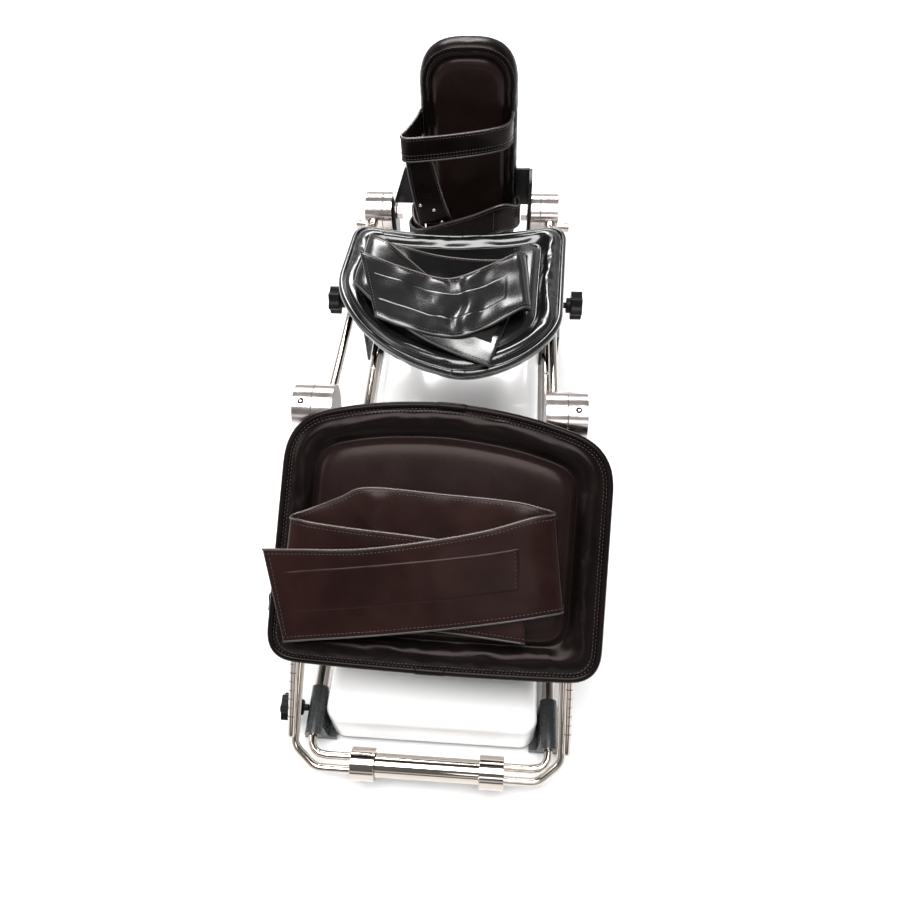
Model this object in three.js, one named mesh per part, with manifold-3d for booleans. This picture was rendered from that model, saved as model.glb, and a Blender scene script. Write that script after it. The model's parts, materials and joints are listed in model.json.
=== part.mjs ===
// Knee exerciser (continuous passive motion machine) as a standalone three.js model.
// Millimetres, +Z up. X runs across the machine, Y runs from the hip end to the foot end.
// Most pieces are made for the right-hand side (+X) and mirrored for the left.

import * as THREE from 'three';
import { mergeVertices } from 'three/addons/utils/BufferGeometryUtils.js';
import Module from 'manifold-3d';

const wasm = await Module();
wasm.setup();

// ---------------------------------------------------------------- driving dimensions

const gap = 0.4; // between pieces that touch
const runningGap = 0.6; // between pieces that move on each other

// rails and their moulded end fittings
const railX = 139;
const railZ = 50;
const railRadius = 8;
const railBore = 6;
const railStart = 58;
const railEnd = 935;
const sleeveRadius = 10;
const hipSleeve = [36, 94];
const footSleeve = [912, 950];
const footPadHeight = 4;

// housing
const housingHalf = 125;
const housingFrom = 48;
const housingTo = 915;
const housingBottom = 14;
const housingTop = 79;
const housingEdge = 17;
const housingCorner = 20;
const wall = 3;
const slotFrom = 520;
const slotTo = 836;
const slotLow = 21.5;
const slotHigh = 32;

// hip hinge: two parallel bars held by two collars
const baseBarY = 14;
const hipY = -0.5;
const hipZ = railZ;
const barRadius = 4.75;
const collarRadius = 18.75;
const collarX = [60, 88];
const hipSleeveRadius = 13.5;

// thigh link, measured along the leg of the U and square to it
const thighAngle = THREE.MathUtils.degToRad(36.57);
const thighLegX = 151;
const thighLegBend = 150;
const thighLegEnd = 222;
const thighRodX = 156.5;
const thighRodRise = 12;
const thighRodStart = 36.5;
const kneeAlong = 415;
const thighClampAlong = [175, 209];

// knee and calf link
const jointRadius = 29;
const kneeOuterX = [142.6, 164];
const kneeInnerX = [118.5, 142];
const calfAngle = THREE.MathUtils.degToRad(-5.18);
const calfLength = 415.7;
const calfX = 128.8;
const calfRodRadius = 5.3;
const calfTubeRadius = 7;
const calfTubeStart = 236;
const calfClampAlong = [230, 262];
const calfKnobDrop = 34;
const calfKnobHead = [157, 172];
const calfKnobNeck = 5;

// ankle and carriage
const ankleOuterX = [114.9, 140];
const ankleInnerX = [101, 114.3];
const ankleSideX = [96.2, 100.5];
const carriageShoeX = [126.6, 156];
const shoeSlotX = [130.6, 152];
const shoeFrom = 659;
const shoeTo = 805;
const shoeBottom = 33;
const shoeSlotTop = 91;
const shoeTop = 111;
const shoeEndWall = 8;
const bridgeThickness = 6;

// drive inside the housing
const screwZ = 34;
const screwRadius = 6;
const nutY = 700;
const nutRadius = 13;

// soft parts: outline sizes and heights over their link
const thighCushion = { half: 178, from: 131, to: 396, bulge: 27, corner: 44, low: 42, high: 68, shift: 3, turn: -3 };
const calfCushion = { half: 142, from: 160, to: 324, bulge: 122, corner: 26, low: 10.5, high: 38, shift: 0, turn: 0 };
const bootShift = 8;
const bootHalf = 63;
const bootTop = 526;
const bootBottom = 226;
const heelFloor = 290;
const heelDepth = 62;

// ---------------------------------------------------------------- geometry helpers

function solidOf(geometry) {
  const bare = geometry.clone();
  bare.deleteAttribute('normal');
  bare.deleteAttribute('uv');
  const merged = mergeVertices(bare, 1e-4);
  return new wasm.Manifold(new wasm.Mesh({
    numProp: 3,
    vertProperties: new Float32Array(merged.attributes.position.array),
    triVerts: new Uint32Array(merged.index.array),
  }));
}

function geometryOf(solid) {
  const mesh = solid.getMesh();
  const geometry = new THREE.BufferGeometry();
  geometry.setAttribute('position', new THREE.BufferAttribute(new Float32Array(mesh.vertProperties), 3));
  geometry.setIndex(new THREE.BufferAttribute(new Uint32Array(mesh.triVerts), 1));
  geometry.computeVertexNormals();
  return geometry;
}

function join(...pieces) {
  return geometryOf(pieces.map(solidOf).reduce((whole, piece) => whole.add(piece)));
}

function cut(geometry, ...tools) {
  return geometryOf(tools.map(solidOf).reduce((whole, tool) => whole.subtract(tool), solidOf(geometry)));
}

// the same geometry on the other side of the YZ plane, with its faces still pointing out
function mirrored(geometry) {
  const flat = geometry.index ? geometry.toNonIndexed() : geometry.clone();
  const position = flat.attributes.position;
  const copy = new Float32Array(position.count * 3);
  for (let corner = 0; corner < position.count; corner += 3) {
    [0, 2, 1].forEach((from, to) => {
      copy[(corner + to) * 3] = -position.getX(corner + from);
      copy[(corner + to) * 3 + 1] = position.getY(corner + from);
      copy[(corner + to) * 3 + 2] = position.getZ(corner + from);
    });
  }
  const result = new THREE.BufferGeometry();
  result.setAttribute('position', new THREE.BufferAttribute(copy, 3));
  const merged = mergeVertices(result, 1e-4);
  merged.computeVertexNormals();
  return merged;
}

function box([x0, x1], [y0, y1], [z0, z1]) {
  const geometry = new THREE.BoxGeometry(x1 - x0, y1 - y0, z1 - z0);
  return geometry.translate((x0 + x1) / 2, (y0 + y1) / 2, (z0 + z1) / 2);
}

// a round bar between two points
function drum(radius, from, to, sides = 28) {
  const start = new THREE.Vector3(...from);
  const end = new THREE.Vector3(...to);
  const geometry = new THREE.CylinderGeometry(radius, radius, start.distanceTo(end), sides);
  const direction = end.clone().sub(start).normalize();
  const turn = new THREE.Quaternion().setFromUnitVectors(new THREE.Vector3(0, 1, 0), direction);
  const middle = start.add(end).multiplyScalar(0.5);
  return geometry.applyQuaternion(turn).translate(middle.x, middle.y, middle.z);
}

// a disc or bar along X
function acrossX(radius, [x0, x1], y, z, sides = 28) {
  return drum(radius, [x0, y, z], [x1, y, z], sides);
}

// a bar along Y
function alongY(radius, x, [y0, y1], z, sides = 28) {
  return drum(radius, [x, y0, z], [x, y1, z], sides);
}

// a flat outline given thickness along X (outline in Y, Z), Y (outline in X, Z) or Z (outline in X, Y)
function slab(outline, axis, from, to, bevel = null) {
  const shape = outline instanceof THREE.Shape ? outline : new THREE.Shape(outline.map((p) => new THREE.Vector2(...p)));
  const options = { depth: to - from, steps: 1, curveSegments: 5, bevelEnabled: bevel !== null, ...bevel };
  const geometry = new THREE.ExtrudeGeometry(shape, options);
  const basis = new THREE.Matrix4();
  const [x, y, z] = [new THREE.Vector3(1, 0, 0), new THREE.Vector3(0, 1, 0), new THREE.Vector3(0, 0, 1)];
  if (axis === 'x') return geometry.applyMatrix4(basis.makeBasis(y, z, x)).translate(from, 0, 0);
  if (axis === 'y') return geometry.applyMatrix4(basis.makeBasis(x, z, y.clone().negate())).translate(0, to, 0);
  return geometry.translate(0, 0, from);
}

// a path through given points whose sharp corners become arcs
class RodPath extends THREE.Curve {
  constructor(corners, radius, steps = 4) {
    super();
    this.points = [corners[0]];
    for (let i = 1; i < corners.length - 1; i += 1) {
      const arrive = corners[i - 1].clone().sub(corners[i]).setLength(radius).add(corners[i]);
      const leave = corners[i + 1].clone().sub(corners[i]).setLength(radius).add(corners[i]);
      const bend = new THREE.QuadraticBezierCurve3(arrive, corners[i], leave);
      this.points.push(...bend.getPoints(steps));
    }
    this.points.push(corners[corners.length - 1]);
  }

  getPoint(t) {
    const place = t * (this.points.length - 1);
    const index = Math.min(Math.floor(place), this.points.length - 2);
    return this.points[index].clone().lerp(this.points[index + 1], place - index);
  }

  getPointAt(u) {
    return this.getPoint(u);
  }

  getTangentAt(u) {
    return this.getTangent(u);
  }

  getSpacedPoints(divisions) {
    return this.getPoints(divisions);
  }
}

function bentRod(corners, bend, radius, sides = 16) {
  const path = new RodPath(corners.map((p) => new THREE.Vector3(...p)), bend);
  const section = new THREE.Shape();
  for (let i = 0; i < sides; i += 1) {
    const angle = (i / sides) * Math.PI * 2;
    const point = [radius * Math.cos(angle), radius * Math.sin(angle)];
    if (i === 0) section.moveTo(...point);
    else section.lineTo(...point);
  }
  return new THREE.ExtrudeGeometry(section, { steps: path.points.length - 1, extrudePath: path, bevelEnabled: false });
}

function roundedRectangle(half, from, to, corner) {
  const shape = new THREE.Shape();
  shape.moveTo(-half + corner, from);
  shape.lineTo(half - corner, from);
  shape.absarc(half - corner, from + corner, corner, -Math.PI / 2, 0);
  shape.absarc(half - corner, to - corner, corner, 0, Math.PI / 2);
  shape.absarc(-half + corner, to - corner, corner, Math.PI / 2, Math.PI);
  shape.absarc(-half + corner, from + corner, corner, Math.PI, Math.PI * 1.5);
  return shape;
}

// lobed hand knob on a threaded stem, pointing along +X
function starKnob(radius, stem, head, y, z) {
  const lobes = 6;
  const points = lobes * 6;
  const outline = [];
  for (let i = 0; i < points; i += 1) {
    const angle = (i / points) * Math.PI * 2;
    const reach = radius * (0.88 + 0.12 * Math.cos(lobes * angle));
    outline.push([y + reach * Math.cos(angle), z + reach * Math.sin(angle)]);
  }
  return join(
    slab(outline, 'x', head[0], head[1]),
    acrossX(radius * 0.55, [stem[1] - 1, head[0] + 1], y, z, 16),
    acrossX(4, stem, y, z, 12),
  );
}

// ---------------------------------------------------------------- scene graph

const group = new THREE.Group();
const machine = new THREE.Group(); // level pieces
const thigh = new THREE.Group(); // y runs along the thigh link from the hip hinge, z square to it
const calf = new THREE.Group(); // y runs along the calf link from the knee, z square to it

const finish = {
  white: { color: 0xe9e8e3, roughness: 0.2, metalness: 0 },
  chrome: { color: 0xd8d8d8, roughness: 0.12, metalness: 1 },
  black: { color: 0x17181a, roughness: 0.4, metalness: 0 },
  rubber: { color: 0x1c1c1c, roughness: 0.85, metalness: 0 },
  steel: { color: 0x8d8f92, roughness: 0.35, metalness: 1 },
  bronze: { color: 0xa9793f, roughness: 0.35, metalness: 1 },
  leather: { color: 0x15110f, roughness: 0.42, metalness: 0 },
  board: { color: 0x1f5a38, roughness: 0.5, metalness: 0 },
};

function add(parent, name, geometry, look) {
  const mesh = new THREE.Mesh(geometry, new THREE.MeshStandardMaterial(finish[look]));
  mesh.name = name;
  parent.add(mesh);
}

function addPair(parent, name, geometry, look) {
  add(parent, `${name}_right`, geometry, look);
  add(parent, `${name}_left`, mirrored(geometry), look);
}

// ---------------------------------------------------------------- base

function roundTopped(half, from, to, edge, corner, bottom, top) {
  const shape = roundedRectangle(half - edge, from + edge, to - edge, Math.max(corner - edge, 1));
  const bevel = { bevelThickness: edge, bevelSize: edge, bevelSegments: 5 };
  return slab(shape, 'z', bottom - 1, top - edge, bevel);
}

function housingCover() {
  const outer = roundTopped(housingHalf, housingFrom, housingTo, housingEdge, housingCorner, housingBottom, housingTop);
  const inner = roundTopped(
    housingHalf - wall, housingFrom + wall, housingTo - wall,
    housingEdge - wall, housingCorner - wall, housingBottom, housingTop - wall,
  );
  const below = box([-200, 200], [0, 1000], [-60, housingBottom]);
  const slots = box([-130, 130], [slotFrom, slotTo], [slotLow, slotHigh]);
  const inletHole = box([58, 90], [housingTo - 8, housingTo + 1], [28, 54]);
  return cut(outer, inner, below, slots, inletHole);
}

function baseTray() {
  const inset = wall + gap;
  const shape = roundedRectangle(
    housingHalf - inset, housingFrom + inset, housingTo - inset, housingCorner - inset,
  );
  return slab(shape, 'z', 13.4, 16.4);
}

function rail() {
  return cut(
    alongY(railRadius, railX, [railStart, railEnd], railZ),
    alongY(railBore, railX, [railStart - 1, railEnd + 1], railZ, 20),
  );
}

// moulded socket over a rail end, standing on a wedge whose flange reaches under the housing
function endFitting([sleeveFrom, sleeveTo], [flangeFrom, flangeTo], rodBore) {
  const flangeTop = 13;
  const wedge = [
    [118, footPadHeight + gap], [158, footPadHeight + gap], [157, 12], [railX + sleeveRadius - 0.5, railZ],
    [railX - sleeveRadius + 0.5, railZ], [housingHalf + 2, flangeTop], [118, flangeTop],
  ];
  return cut(
    join(
      alongY(sleeveRadius, railX, [sleeveFrom, sleeveTo], railZ, 32),
      slab(wedge, 'y', flangeFrom, flangeTo),
    ),
    alongY(railRadius + 0.3, railX, rodBore ? [railStart - 0.5, 120] : [900, railEnd + 0.5], railZ),
    ...(rodBore ? [alongY(barRadius + 0.4, railX, [0, railStart + 1], railZ, 20)] : []),
  );
}

function rubberFoot(y) {
  return drum(9, [142, y, 0], [142, y, footPadHeight], 20);
}

function gearMotor() {
  return join(
    alongY(26, 0, [170, 282], 46, 32),
    box([-34, 34], [280, 322], [17, 75]),
    alongY(9, 0, [320, 333], screwZ, 20),
  );
}

function bearingBlock() {
  return cut(
    box([-20, 20], [884, 899], [17, 54]),
    alongY(screwRadius + 0.5, 0, [880, 896], screwZ, 20),
  );
}

function controlBoard() {
  return join(
    box([-95, 95], [72, 150], [20, 22]),
    box([-85, -40], [82, 128], [21, 55]),
    box([-20, 30], [90, 110], [21, 36]),
    box([50, 84], [84, 140], [21, 44]),
    ...[-90, 90].flatMap((x) => [77, 145].map((y) => drum(3, [x, y, 16.8], [x, y, 20.5], 10))),
  );
}

function powerInlet() {
  return cut(
    join(
      box([58.4, 89.6], [housingTo - 20, housingTo + 1.5], [28.4, 53.6]),
      box([54, 94], [housingTo + gap, housingTo + 3], [24, 58]),
    ),
    box([63, 85], [housingTo - 14, housingTo + 4], [33, 49]),
  );
}

const baseRodInner = 92;

function baseRod() {
  return bentRod([
    [-railX, baseRodInner, railZ], [-railX, baseBarY, railZ], [railX, baseBarY, railZ], [railX, baseRodInner, railZ],
  ], 20, barRadius);
}

function buildBase() {
  add(machine, 'housing_cover', housingCover(), 'white');
  add(machine, 'base_tray', baseTray(), 'steel');
  addPair(machine, 'rail', rail(), 'chrome');
  addPair(machine, 'hip_fitting', endFitting(hipSleeve, [46, 92], true), 'black');
  addPair(machine, 'foot_fitting', endFitting(footSleeve, [902, 948], false), 'black');
  addPair(machine, 'hip_rubber_foot', rubberFoot(70), 'rubber');
  addPair(machine, 'foot_rubber_foot', rubberFoot(926), 'rubber');
  const lockKnob = starKnob(17, [railX + sleeveRadius + gap, 157], [163, 181], 68, railZ);
  add(machine, 'base_lock_knob', mirrored(lockKnob), 'black');
  add(machine, 'gear_motor', gearMotor(), 'steel');
  add(machine, 'bearing_block', bearingBlock(), 'steel');
  add(machine, 'control_board', controlBoard(), 'board');
  add(machine, 'power_inlet', powerInlet(), 'black');
}

function buildDrive() {
  add(machine, 'lead_screw', alongY(screwRadius, 0, [334, 895], screwZ, 20), 'steel');
  add(machine, 'drive_nut', cut(
    alongY(nutRadius, 0, [nutY - 12, nutY + 12], screwZ),
    alongY(screwRadius + 0.4, 0, [nutY - 13, nutY + 13], screwZ, 20),
  ), 'bronze');
  const bar = [nutY - 6, nutY + 6];
  const finger = [127, 130.6];
  add(machine, 'drive_slider', cut(
    join(
      box([-finger[1], finger[1]], bar, [23, 30.5]),
      box([-20, 20], [nutY - 9, nutY + 9], [19, 52]),
      box(finger, bar, [23, 60]),
      box([-finger[1], -finger[0]], bar, [23, 60]),
    ),
    alongY(nutRadius + gap, 0, [nutY - 14, nutY + 14], screwZ),
  ), 'steel');
}

// ---------------------------------------------------------------- hip hinge

function collar([x0, x1], radius) {
  const middle = (baseBarY + hipY) / 2;
  return cut(
    acrossX(radius, [x0, x1], middle, railZ, 36),
    acrossX(barRadius + gap, [x0 - 1, x1 + 1], baseBarY, railZ, 20),
    acrossX(barRadius + gap, [x0 - 1, x1 + 1], hipY, railZ, 20),
  );
}

function buildHipHinge() {
  add(machine, 'base_u_rod', baseRod(), 'chrome');
  addPair(machine, 'hip_collar', collar(collarX, collarRadius), 'chrome');
  const sleeveEnd = collarX[0] - gap;
  add(machine, 'hip_sleeve', collar([-sleeveEnd, sleeveEnd], hipSleeveRadius), 'chrome');
}

// ---------------------------------------------------------------- thigh link

function thighRod() {
  const points = [[0, 0], [barRadius * 0.7, 1.4], [barRadius, 4.6], [barRadius, kneeAlong + 12 - thighRodStart]];
  const profile = [...points.map((p) => new THREE.Vector2(...p)), new THREE.Vector2(0, points[3][1])];
  return new THREE.LatheGeometry(profile, 14).translate(thighRodX, thighRodStart, thighRodRise);
}

function thighClamp() {
  const [from, to] = thighClampAlong;
  const block = box([143, 167], [from, to], [-10, 23]);
  return cut(
    block,
    alongY(barRadius + gap, thighLegX, [from - 1, to + 1], 0, 20),
    alongY(barRadius + runningGap, thighRodX, [from - 1, to + 1], thighRodRise, 20),
  );
}

function thighCradle() {
  const [from, to] = thighClampAlong;
  return join(
    box([-158, 158], [150, 310], [38, 41.4]),
    box([145, 158], [from, to], [23.4, 39]),
    box([-158, -145], [from, to], [23.4, 39]),
  );
}

// outline of a pad: straight sides, rounded corners and one bowed end
function padOutline({ half, from, to, bulge, corner }, bowAt) {
  const shape = new THREE.Shape();
  const steps = 14;
  const sign = bowAt === 'far' ? 1 : -1;
  const [flatEnd, bowEnd] = bowAt === 'far' ? [from, to] : [to, from];
  const outline = [];
  const arc = (cx, cy, start, end) => {
    for (let i = 0; i <= 4; i += 1) {
      const angle = start + ((end - start) * i) / 4;
      outline.push([cx + corner * Math.cos(angle), cy + sign * corner * Math.sin(angle)]);
    }
  };
  arc(-half + corner, flatEnd + sign * corner, Math.PI, Math.PI * 1.5);
  arc(half - corner, flatEnd + sign * corner, -Math.PI / 2, 0);
  for (let i = 0; i <= steps; i += 1) {
    const angle = (i / steps) * Math.PI;
    const across = Math.sign(Math.cos(angle)) * Math.abs(Math.cos(angle)) ** 0.55;
    outline.push([half * across, bowEnd + sign * bulge * Math.sin(angle) ** 1.1]);
  }
  if (sign < 0) outline.reverse();
  outline.forEach((p, i) => (i ? shape.lineTo(...p) : shape.moveTo(...p)));
  return shape;
}

function pad(size, bowAt) {
  const middle = (size.from + size.to) / 2;
  const geometry = slab(padOutline(size, bowAt), 'z', size.low, size.high);
  geometry.translate(0, -middle, 0).rotateZ(THREE.MathUtils.degToRad(size.turn));
  return geometry.translate(size.shift, middle, 0);
}

// a leather belt lying over a pad in a lens-shaped loop
function belt(half, from, to, low, high) {
  const middle = (from + to) / 2;
  const rise = (to - from) / 2;
  const shape = new THREE.Shape();
  const points = 20;
  for (let i = 0; i < points; i += 1) {
    const angle = (i / points) * Math.PI * 2;
    const point = [half * Math.cos(angle), middle + rise * Math.sin(angle)];
    if (i) shape.lineTo(...point);
    else shape.moveTo(...point);
  }
  return slab(shape, 'z', low, high);
}

function buildThigh() {
  add(thigh, 'thigh_u_rod', bentRod([
    [-thighLegX, thighLegEnd, 0], [-thighLegX, thighLegBend, 0], [-thighLegX - 4, 24, 0], [-130, 0, 0],
    [126, 0, 0], [thighLegX + 1, 24, 0], [thighLegX, thighLegBend, 0], [thighLegX, thighLegEnd, 0],
  ], 8, barRadius), 'chrome');
  addPair(thigh, 'thigh_clamp', thighClamp(), 'black');
  addPair(thigh, 'thigh_knob', starKnob(17, [167 + gap, 172], [175, 187], 192, 6), 'black');
  add(thigh, 'thigh_cradle', thighCradle(), 'black');
  add(thigh, 'thigh_cushion', pad(thighCushion, 'far'), 'leather');
  add(thigh, 'thigh_belt', belt(140, 175, 325, 68.6, 96), 'leather');
  addPair(thigh, 'thigh_rod', thighRod(), 'chrome');
  const knee = [kneeAlong, thighRodRise];
  addPair(thigh, 'knee_outer_disc', cut(
    acrossX(jointRadius, kneeOuterX, ...knee, 40),
    alongY(barRadius + gap, thighRodX, [knee[0] - 40, knee[0] + 12.5], knee[1], 20),
    alongY(6.5, thighRodX, [knee[0] + 12.4, knee[0] + 40], knee[1], 20),
    acrossX(8.4, [kneeOuterX[0] - 1, kneeOuterX[0] + 6.5], ...knee, 20),
  ), 'chrome');
}

// ---------------------------------------------------------------- calf link

function calfTube() {
  const end = calfLength - 9;
  return cut(
    alongY(calfTubeRadius, calfX, [calfTubeStart, end], 0, 20),
    alongY(calfRodRadius + gap, calfX, [calfTubeStart - 1, end - 4], 0, 16),
  );
}

function calfClamp() {
  const [from, to] = calfClampAlong;
  const outline = [
    [119.4, 9.5], [119.4, -42], [123, -46], [136, -46], [140, -42], [140, 5], [135, 9.5],
  ];
  return cut(
    slab(outline, 'y', from, to),
    alongY(calfTubeRadius + gap, calfX, [calfTubeStart - gap, to + 1], 0, 20),
    alongY(calfRodRadius + runningGap, calfX, [from - 1, to], 0, 20),
  );
}

function buildCalf() {
  addPair(calf, 'knee_inner_disc', cut(
    join(
      acrossX(jointRadius, kneeInnerX, 0, 0, 40),
      acrossX(7.6, [kneeInnerX[1] - 1, kneeInnerX[1] + 5.6], 0, 0, 20),
    ),
    alongY(calfRodRadius + gap, calfX, [3, 40], 0, 20),
  ), 'chrome');
  addPair(calf, 'calf_rod', alongY(calfRodRadius, calfX, [3.4, 352], 0, 14), 'chrome');
  addPair(calf, 'calf_tube', calfTube(), 'chrome');
  addPair(calf, 'calf_clamp', calfClamp(), 'black');
  const calfKnobStem = [140 + gap, calfKnobHead[0] - calfKnobNeck];
  addPair(calf, 'calf_knob', starKnob(19, calfKnobStem, calfKnobHead, 246, -calfKnobDrop), 'black');
  add(calf, 'calf_cradle', box([-119, 119], [152, 290], [3.5, 7.5]), 'black');
  add(calf, 'calf_cushion', pad(calfCushion, 'near'), 'leather');
  add(calf, 'calf_belt', belt(112, 85, 225, 38.6, 66), 'leather');
  addPair(calf, 'ankle_outer_disc', cut(
    acrossX(jointRadius, ankleOuterX, calfLength, 0, 40),
    alongY(calfTubeRadius + gap, calfX, [calfLength - 40, calfLength - 8.5], 0, 20),
    acrossX(5.6, [ankleOuterX[0] - 1, 121], calfLength, 0, 20),
  ), 'chrome');
  addPair(calf, 'ankle_screw', join(
    acrossX(4, [ankleOuterX[1] + gap, 151], calfLength - 4, -18, 14),
    acrossX(6.5, [146.5, 149.5], calfLength - 4, -18, 18),
    acrossX(7.5, [150.5, 158], calfLength - 4, -18, 18),
  ), 'chrome');
}

// ---------------------------------------------------------------- carriage and foot rest

const onThigh = (along, rise) => [
  hipY + along * Math.cos(thighAngle) - rise * Math.sin(thighAngle),
  hipZ + along * Math.sin(thighAngle) + rise * Math.cos(thighAngle),
];
const [kneeY, kneeZ] = onThigh(kneeAlong, thighRodRise);
const ankleY = kneeY + calfLength * Math.cos(calfAngle);
const ankleZ = kneeZ + calfLength * Math.sin(calfAngle);

function carriageShoe() {
  const outline = [
    [shoeFrom, shoeBottom], [shoeTo, shoeBottom], [shoeTo, shoeTop - 14], [shoeTo - 26, shoeTop],
    [shoeFrom + 26, shoeTop], [shoeFrom, shoeTop - 14],
  ];
  return cut(
    slab(outline, 'x', ...carriageShoeX),
    box(shoeSlotX, [shoeFrom - 1, shoeTo + 1], [shoeBottom - 1, shoeSlotTop]),
    box([carriageShoeX[0] - 1, shoeSlotX[0] + 1], [shoeFrom + shoeEndWall, shoeTo - shoeEndWall], [shoeBottom - 1, shoeSlotTop]),
  );
}

function carriageUpright() {
  const armBottom = shoeTop + gap + bridgeThickness + gap;
  const arm = [
    [ankleY - 24, armBottom], [ankleY + 24, armBottom], [ankleY + 24, armBottom + 8],
    [ankleY + 15, ankleZ], [ankleY - 15, ankleZ], [ankleY - 24, armBottom + 8],
  ];
  return join(
    acrossX(jointRadius, ankleInnerX, ankleY, ankleZ, 40),
    slab(arm, 'x', 103, 112),
    acrossX(5, [87, 120.5], ankleY, ankleZ, 20),
    acrossX(10.5, [87, 95.6], ankleY, ankleZ, 6),
  );
}

function footBracket() {
  const side = (from, to) => cut(
    slab(roundedRectangle(18, -50, 66, 5), 'z', 0, to - from)
      .applyMatrix4(new THREE.Matrix4().makeBasis(
        new THREE.Vector3(0, 1, 0), new THREE.Vector3(0, 0, 1), new THREE.Vector3(1, 0, 0),
      ))
      .translate(from, ankleY, ankleZ),
    acrossX(5.6, [from - 1, to + 1], ankleY, ankleZ, 20),
  );
  const [inner, outer] = ankleSideX;
  const plate = join(
    side(inner, outer),
    side(-outer, -inner),
    box([-inner - 1, inner + 1], [ankleY + 13, ankleY + 17], [ankleZ + 7, ankleZ + 66]),
  );
  const slantedCorner = [
    [-outer - 5, ankleZ + 10], [-outer, ankleZ + 10], [-outer + 22, ankleZ + 75], [-outer - 5, ankleZ + 75],
  ];
  return cut(plate, slab(slantedCorner, 'y', ankleY - 25, ankleY + 25));
}

// sole pad standing on edge with a heel shelf at its foot
function footBoot() {
  const sole = roundedRectangle(bootHalf, bootBottom, bootTop, 46);
  const soleBack = ankleY + 12.4;
  const soleFront = soleBack - 30;
  const shelf = [
    [soleFront - heelDepth, heelFloor - 26], [soleFront + 10, heelFloor - 30],
    [soleFront + 10, heelFloor], [soleFront - heelDepth, heelFloor - 2],
  ];
  return join(
    slab(sole, 'y', soleFront, soleBack),
    slab(shelf, 'x', -bootHalf + 6, bootHalf - 6),
  ).translate(bootShift, 0, 0);
}

function buildCarriage() {
  addPair(machine, 'carriage_shoe', carriageShoe(), 'black');
  const bridgeLow = shoeTop + gap;
  add(machine, 'carriage_bridge', box(
    [-carriageShoeX[1], carriageShoeX[1]], [ankleY - 26, ankleY + 26], [bridgeLow, bridgeLow + bridgeThickness],
  ), 'steel');
  addPair(machine, 'carriage_upright', carriageUpright(), 'chrome');
}

function buildFootRest() {
  add(machine, 'foot_bracket', footBracket(), 'black');
  add(machine, 'foot_boot', footBoot(), 'leather');
}

// ---------------------------------------------------------------- assembly

buildBase();
buildDrive();
buildHipHinge();
buildThigh();
buildCalf();
buildCarriage();
buildFootRest();

thigh.position.set(0, hipY, hipZ);
thigh.rotation.x = thighAngle;
calf.position.set(0, kneeY, kneeZ);
calf.rotation.x = calfAngle;
group.add(machine, thigh, calf);

// the origin is the middle of the footprint, on the floor
const hipEnd = (baseBarY + hipY) / 2 - collarRadius;
const footEnd = footSleeve[1];
group.position.y = -(hipEnd + footEnd) / 2;

export default group;
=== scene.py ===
"""Looks for a motor-driven leg exerciser: two chromed leg links, leather cushions and a foot rest.

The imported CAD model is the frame. Hard parts keep their CAD shape and get materials; cushions, belts
and the boot are new pieces. Their lengths are millimetres in a link's own axes until Link.at() turns
them into metres: x across the machine, u along the link from its joint, n square to the link.
"""
import json
import math

import bpy
import numpy as np
from mathutils import Matrix, Vector, noise
from mathutils.bvhtree import BVHTree


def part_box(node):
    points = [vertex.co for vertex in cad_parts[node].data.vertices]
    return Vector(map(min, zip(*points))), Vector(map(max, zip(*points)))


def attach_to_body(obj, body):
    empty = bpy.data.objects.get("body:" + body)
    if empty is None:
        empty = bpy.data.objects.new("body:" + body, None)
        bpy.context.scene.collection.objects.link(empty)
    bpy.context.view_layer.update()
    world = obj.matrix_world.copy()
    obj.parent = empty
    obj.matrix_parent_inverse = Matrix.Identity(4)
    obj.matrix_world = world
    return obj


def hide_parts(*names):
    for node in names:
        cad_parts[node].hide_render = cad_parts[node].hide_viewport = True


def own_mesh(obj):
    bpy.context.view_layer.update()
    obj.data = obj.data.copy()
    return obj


MM = 0.001
THIGH_ANGLE = math.radians(36.57)
CALF_ANGLE = math.radians(-5.18)
STITCH_LENGTH = 3.0
STRAP_STITCH_LENGTH = 2.9
STITCH_PITCH = 4.2
THREAD_THICKNESS = 0.95

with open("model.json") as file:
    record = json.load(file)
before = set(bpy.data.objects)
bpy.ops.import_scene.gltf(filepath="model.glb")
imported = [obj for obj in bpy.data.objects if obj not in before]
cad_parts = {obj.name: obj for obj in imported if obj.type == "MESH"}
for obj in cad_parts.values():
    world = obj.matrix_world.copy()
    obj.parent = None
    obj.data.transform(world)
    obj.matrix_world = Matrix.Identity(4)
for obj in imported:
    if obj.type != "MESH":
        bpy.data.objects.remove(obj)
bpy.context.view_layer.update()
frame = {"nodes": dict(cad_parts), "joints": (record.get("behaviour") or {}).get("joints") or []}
nodes = frame["nodes"]
joint_places = {j["name"]: j["pos_m"] for j in frame["joints"] if "pos_m" in j}


# ---- links

class Link:
    """Axes of a leg link: x across, u along the link, n square to it."""

    def __init__(self, joint, along):
        self.origin = np.array(joint_places[joint], float)
        self.along = np.array(along, float)
        self.normal = np.cross((1.0, 0.0, 0.0), self.along)

    def at(self, points):
        """(x, u, n) in millimetres to the model's axes in metres."""
        p = np.asarray(points, float) * MM
        across = p[..., 0:1] * np.array((1.0, 0.0, 0.0))
        return self.origin + across + p[..., 1:2] * self.along + p[..., 2:3] * self.normal


thigh = Link("hip", (0, math.cos(THIGH_ANGLE), math.sin(THIGH_ANGLE)))
calf = Link("knee", (0, math.cos(CALF_ANGLE), math.sin(CALF_ANGLE)))
foot = Link("ankle", (0, 0, 1))


# ---- mesh helpers

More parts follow.
